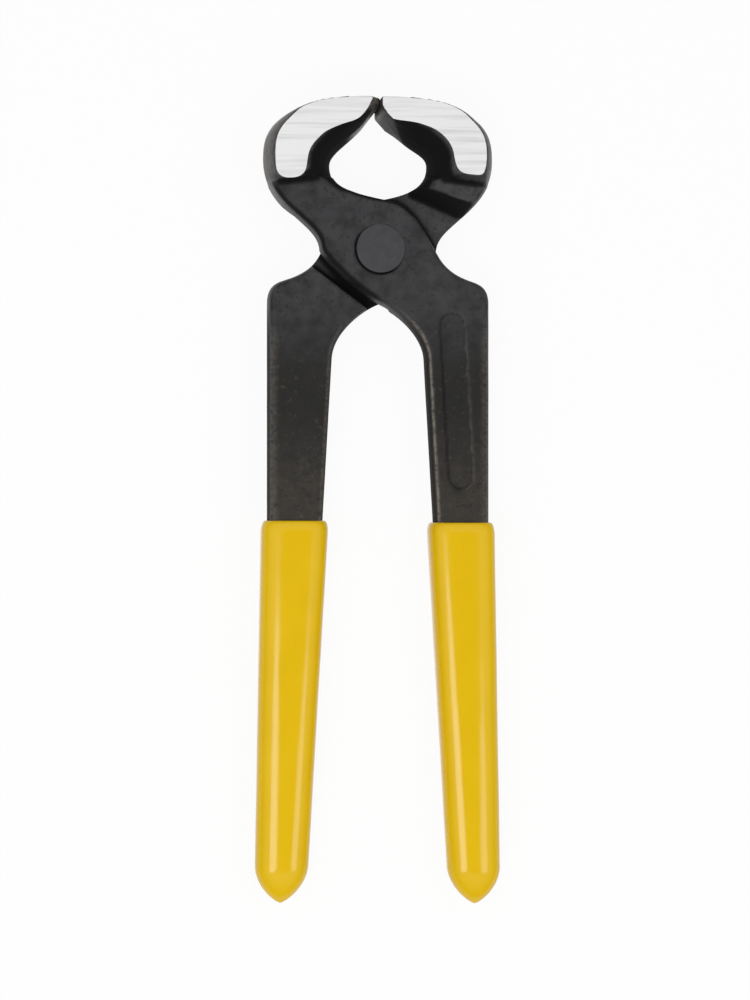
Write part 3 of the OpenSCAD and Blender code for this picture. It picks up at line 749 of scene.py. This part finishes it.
def dipped_grip():
    """Tree that makes one grip: a grid rolled into a superellipse, drawn from the point of the tip up to
    the rim, over the rounded lip and down again inside, along the wall of the tang."""
    tree, given = new_tree("dipped_grip", (
        "Rim Y", "Tip Y", "Inner Rim", "Inner Tip", "Outer Rim", "Outer Tip", "Half Thickness Rim",
        "Half Thickness Tip", "Square Rim", "Square Tip", "Wall", "Tip Length", "Lip Length", "Mid Z", "Side",
        "Wave Size", "Wave Depth",
    ))
    outside_end, rim_end, bore_foot, bore_end = GRIP_STAGES
    grid = add(tree, "GeometryNodeMeshGrid", {
        "Size X": 1.0, "Size Y": 1.0, "Vertices X": GRIP_ROWS, "Vertices Y": GRIP_SIDES + 1,
    })
    spot = add(tree, "ShaderNodeSeparateXYZ", {0: add(tree, "GeometryNodeInputPosition")})
    row = add(tree, "ShaderNodeMath", {0: spot.outputs["X"], 1: 0.5}, operation="ADD")
    turn = add(tree, "ShaderNodeMapRange", {
        "Value": spot.outputs["Y"], "From Min": -0.5, "From Max": 0.5, "To Max": math.tau,
    })

    # Share of the way from the tip to the rim: up along the outside, down along the bore
    rising = add(tree, "ShaderNodeMapRange", {
        "Value": row, "From Max": outside_end,
    }, interpolation_type="SMOOTHSTEP")
    falling = add(tree, "ShaderNodeMapRange", {
        "Value": row, "From Min": rim_end, "From Max": bore_foot, "To Min": 1.0, "To Max": BORE_END,
    })
    reach = add(tree, "ShaderNodeMath", {0: rising, 1: falling}, operation="MINIMUM")
    length = add(tree, "ShaderNodeMath", {0: given["Rim Y"], 1: given["Tip Y"]}, operation="SUBTRACT")
    from_tip = add(tree, "ShaderNodeMath", {0: reach, 1: length}, operation="MULTIPLY")
    from_rim = add(tree, "ShaderNodeMath", {0: length, 1: from_tip}, operation="SUBTRACT")

    # Share of the full section: blunt at the tip, closed at the end of the bore
    short = add(tree, "ShaderNodeMapRange", {
        "Value": from_tip, "From Max": given["Tip Length"], "To Min": 1.0, "To Max": 0.0,
    })
    short_power = add(tree, "ShaderNodeMath", {0: short, 1: TIP_POWERS[0]}, operation="POWER")
    filled = add(tree, "ShaderNodeMath", {0: 1.0, 1: short_power}, operation="SUBTRACT")
    blunt = add(tree, "ShaderNodeMath", {0: filled, 1: TIP_POWERS[1]}, operation="POWER")
    open_bore = add(tree, "ShaderNodeMapRange", {
        "Value": row, "From Min": bore_foot, "From Max": bore_end, "To Min": 1.0, "To Max": 0.0,
    })
    share = add(tree, "ShaderNodeMath", {0: blunt, 1: open_bore}, operation="MULTIPLY")

    # Part of the wall that the round of the lip, and then the bore, takes away
    lip = add(tree, "ShaderNodeMapRange", {
        "Value": from_rim, "From Max": given["Lip Length"], "To Min": 1.0, "To Max": 0.0,
    })
    lip_square = add(tree, "ShaderNodeMath", {0: lip, 1: lip}, operation="MULTIPLY")
    lip_rest = add(tree, "ShaderNodeMath", {0: 1.0, 1: lip_square}, operation="SUBTRACT")
    lip_arc = add(tree, "ShaderNodeMath", {0: lip_rest}, operation="SQRT")
    lip_loss = add(tree, "ShaderNodeMath", {
        0: -LIP_SHARE, 1: lip_arc, 2: LIP_SHARE,
    }, operation="MULTIPLY_ADD")
    bore_loss = add(tree, "ShaderNodeMapRange", {
        "Value": row, "From Min": outside_end, "From Max": rim_end, "To Max": BORE_SHARE,
    })
    loss = add(tree, "ShaderNodeMath", {0: lip_loss, 1: bore_loss}, operation="MAXIMUM")
    lost = add(tree, "ShaderNodeMath", {0: loss, 1: given["Wall"]}, operation="MULTIPLY")

    # Edges, half thickness and squareness of the section, each between its value at the tip and at the rim
    inner, outer, half_t, square = [
        add(tree, "ShaderNodeMix", {
            SHARE: reach, NUMBER_A: given[f"{label} Tip"], NUMBER_B: given[f"{label} Rim"],
        })
        for label in ("Inner", "Outer", "Half Thickness", "Square")
    ]
    both = add(tree, "ShaderNodeMath", {0: inner, 1: outer}, operation="ADD")
    across = add(tree, "ShaderNodeMath", {0: outer, 1: inner}, operation="SUBTRACT")
    half_w = add(tree, "ShaderNodeMath", {0: across, 1: 0.5}, operation="MULTIPLY")
    power = add(tree, "ShaderNodeMath", {0: 2.0, 1: square}, operation="DIVIDE")
    offsets = []
    for operation, half in (("COSINE", half_w), ("SINE", half_t)):
        wave = add(tree, "ShaderNodeMath", {0: turn}, operation=operation)
        size = add(tree, "ShaderNodeMath", {0: wave}, operation="ABSOLUTE")
        squared_off = add(tree, "ShaderNodeMath", {0: size, 1: power}, operation="POWER")
        sign = add(tree, "ShaderNodeMath", {0: wave}, operation="SIGN")
        signed = add(tree, "ShaderNodeMath", {0: sign, 1: squared_off}, operation="MULTIPLY")
        left_of_wall = add(tree, "ShaderNodeMath", {0: half, 1: lost}, operation="SUBTRACT")
        extent = add(tree, "ShaderNodeMath", {0: left_of_wall, 1: share}, operation="MULTIPLY")
        offsets.append(add(tree, "ShaderNodeMath", {0: signed, 1: extent}, operation="MULTIPLY"))
    right_x = add(tree, "ShaderNodeMath", {0: both, 1: 0.5, 2: offsets[0]}, operation="MULTIPLY_ADD")
    x = add(tree, "ShaderNodeMath", {0: right_x, 1: given["Side"]}, operation="MULTIPLY")
    y = add(tree, "ShaderNodeMath", {0: from_tip, 1: given["Tip Y"]}, operation="ADD")
    z = add(tree, "ShaderNodeMath", {0: offsets[1], 1: given["Mid Z"]}, operation="ADD")
    spread = add(tree, "ShaderNodeCombineXYZ", {0: x, 1: y, 2: z})
    rolled = add(tree, "GeometryNodeSetPosition", {"Geometry": grid, "Position": spread})
    closed = add(tree, "GeometryNodeMergeByDistance", {"Geometry": rolled, "Distance": WELD})
    left_side = add(tree, "FunctionNodeCompare", {0: given["Side"], 1: 0.0}, operation="LESS_THAN")
    turned = add(tree, "GeometryNodeFlipFaces", {"Mesh": closed, "Selection": left_side})

    wave_scale = add(tree, "ShaderNodeMath", {0: 1.0, 1: given["Wave Size"]}, operation="DIVIDE")
    noise = add(tree, "ShaderNodeTexNoise", {"Scale": wave_scale, "Detail": 0.0})
    noise_side = add(tree, "ShaderNodeMath", {0: noise, 1: 0.5}, operation="SUBTRACT")
    depth = add(tree, "ShaderNodeMath", {0: noise_side, 1: given["Wave Depth"]}, operation="MULTIPLY")
    shift = add(tree, "ShaderNodeVectorMath", {
        0: add(tree, "GeometryNodeInputNormal"), "Scale": depth,
    }, operation="SCALE")
    waved = add(tree, "GeometryNodeSetPosition", {"Geometry": turned, "Offset": shift.outputs[0]})
    smooth = add(tree, "GeometryNodeSetShadeSmooth", {"Geometry": waved})
    whole = add(tree, "GeometryNodeRealizeInstances", {"Geometry": smooth})
    finished = add(tree, "GeometryNodeSetMaterial", {"Geometry": whole, "Material": PVC})
    add(tree, "NodeGroupOutput", {"Geometry": finished})
    return tree


def grip(node, body, side, rim_y, tip_y):
    """One grip on the right (side 1) or left (side -1), from its rim to its tip."""
    piece = link_object(f"dipped_{node}", bpy.data.meshes.new(f"dipped_{node}"))
    add_tree(piece, GRIP_TREE, {
        "Rim Y": rim_y, "Tip Y": tip_y,
        "Inner Rim": GRIP_INNER[0], "Inner Tip": GRIP_INNER[1],
        "Outer Rim": GRIP_OUTER[0], "Outer Tip": GRIP_OUTER[1],
        "Half Thickness Rim": GRIP_HALF_T[0], "Half Thickness Tip": GRIP_HALF_T[1],
        "Square Rim": GRIP_SQUARE[0], "Square Tip": GRIP_SQUARE[1],
        "Wall": GRIP_WALL, "Tip Length": GRIP_TIP_L, "Lip Length": GRIP_LIP_L,
        "Mid Z": PIVOT.z, "Side": side, "Wave Size": GRIP_WAVE_SIZE, "Wave Depth": GRIP_WAVE_DEPTH,
    })
    plain_mesh(piece)
    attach(piece, body)
    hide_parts(node)


def camera():
    """The camera, turned to the left about the tool's length."""
    turn = math.radians(CAMERA_LEFT_DEG)
    back = Vector((-math.sin(turn), 0, math.cos(turn)))
    right = Vector((0, 1, 0)).cross(back).normalized()
    data = bpy.data.cameras.new("camera")
    data.sensor_width = SENSOR
    data.lens = SENSOR * CAMERA_DISTANCE / VIEW_HEIGHT
    eye = link_object("camera", data)
    axes = Matrix((right, back.cross(right), back)).transposed().to_4x4()
    eye.matrix_world = Matrix.Translation(CAMERA_TARGET + CAMERA_DISTANCE * back) @ axes
    bpy.context.scene.camera = eye


def floor():
    """White floor under the jaws and the ends of the grips. It shows white and keeps a soft shadow."""
    material, tree = new_material("White studio floor")
    path = add(tree, "ShaderNodeLightPath").outputs
    seen = add(tree, "ShaderNodeMath", {0: path["Is Camera Ray"], 1: path["Is Glossy Ray"]}, operation="ADD")
    shown = add(tree, "ShaderNodeMath", {
        0: seen, 1: path["Is Transmission Ray"],
    }, operation="ADD", use_clamp=True)
    share = add(tree, "ShaderNodeMath", {0: shown, 1: FLOOR_GLOW}, operation="MULTIPLY")
    paint = add(tree, "ShaderNodeBsdfDiffuse", {"Color": linear(FLOOR_PAINT)})
    glow = add(tree, "ShaderNodeEmission", {"Color": linear(WHITE), "Strength": 1})
    mixed = add(tree, "ShaderNodeMixShader", {0: share, 1: paint, 2: glow})
    add(tree, "ShaderNodeOutputMaterial", {"Surface": mixed})
    size = FLOOR_SIZE
    corners = [
        (x, y, (FLOOR_CONTACT_Y - y) * FLOOR_SLOPE)
        for x, y in ((-size, -size), (size, -size), (size, size), (-size, size))
    ]
    mesh = bpy.data.meshes.new("floor")
    mesh.from_pydata(corners, [], [(0, 1, 2, 3)])
    mesh.materials.append(material)
    link_object("floor", mesh)


def softbox(name, place, size, radiance):
    """An oval lamp that faces the middle of the tool."""
    data = bpy.data.lights.new(name, "AREA")
    data.shape = "ELLIPSE"
    data.size, data.size_y = size
    area = math.pi / 4 * data.size * data.size_y
    data.energy = math.pi * area * radiance
    lamp = link_object(name, data)
    lamp.location = place
    lamp.rotation_euler = (Vector(place) - CAMERA_TARGET).to_track_quat("Z", "Y").to_euler()


def studio_light():
    """The dome, the softboxes and the plain view transform."""
    world = bpy.data.worlds.new("studio_dome")
    world.use_nodes = True
    tree = world.node_tree
    tree.nodes.clear()
    direction = add(tree, "ShaderNodeTexCoord").outputs["Generated"]
    up = add(tree, "ShaderNodeSeparateXYZ", {0: direction}).outputs["Z"]
    dome = add(tree, "ShaderNodeMapRange", {
        "Value": up, "From Min": DOME_RISE[0], "From Max": DOME_RISE[1],
        "To Min": DOME_LEVEL[0], "To Max": DOME_LEVEL[1],
    }, interpolation_type="SMOOTHSTEP")
    facing = add(tree, "ShaderNodeVectorMath", {0: direction, 1: DIM_TOWARDS}, operation="DOT_PRODUCT")
    dim = add(tree, "ShaderNodeMapRange", {
        "Value": facing.outputs["Value"],
        "From Min": math.cos(math.radians(DIM_DEG[1])), "From Max": math.cos(math.radians(DIM_DEG[0])),
        "To Min": 1.0, "To Max": DIM_LEVEL,
    }, interpolation_type="SMOOTHSTEP")
    level = add(tree, "ShaderNodeMath", {0: dome, 1: dim}, operation="MULTIPLY")
    sky = add(tree, "ShaderNodeBackground", {"Color": linear(WHITE), "Strength": level})
    add(tree, "ShaderNodeOutputWorld", {"Surface": sky})
    bpy.context.scene.world = world
    for name, settings in SOFTBOXES.items():
        softbox(name, *settings)
    bpy.context.scene.view_settings.view_transform = "Standard"


STEEL = black_oxide_steel()
BRIGHT = ground_steel()
RIVET_STEEL = peened_steel()
PVC = dipped_pvc()
SKIN_TREE = forged_skin()
GRIP_TREE = dipped_grip()

camera()
floor()
studio_light()
forged_half("front_half", "rear_half", "front_lever", 1)
forged_half("rear_half", "front_half", "rear_lever", -1)
rivet()
grip("right_grip", "front_lever", 1, GRIP_RIM_Y - RIGHT_RIM_LOW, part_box("right_grip")[0].y)
grip("left_grip", "rear_lever", -1, GRIP_RIM_Y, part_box("left_grip")[0].y + LEFT_GRIP_SHORT)
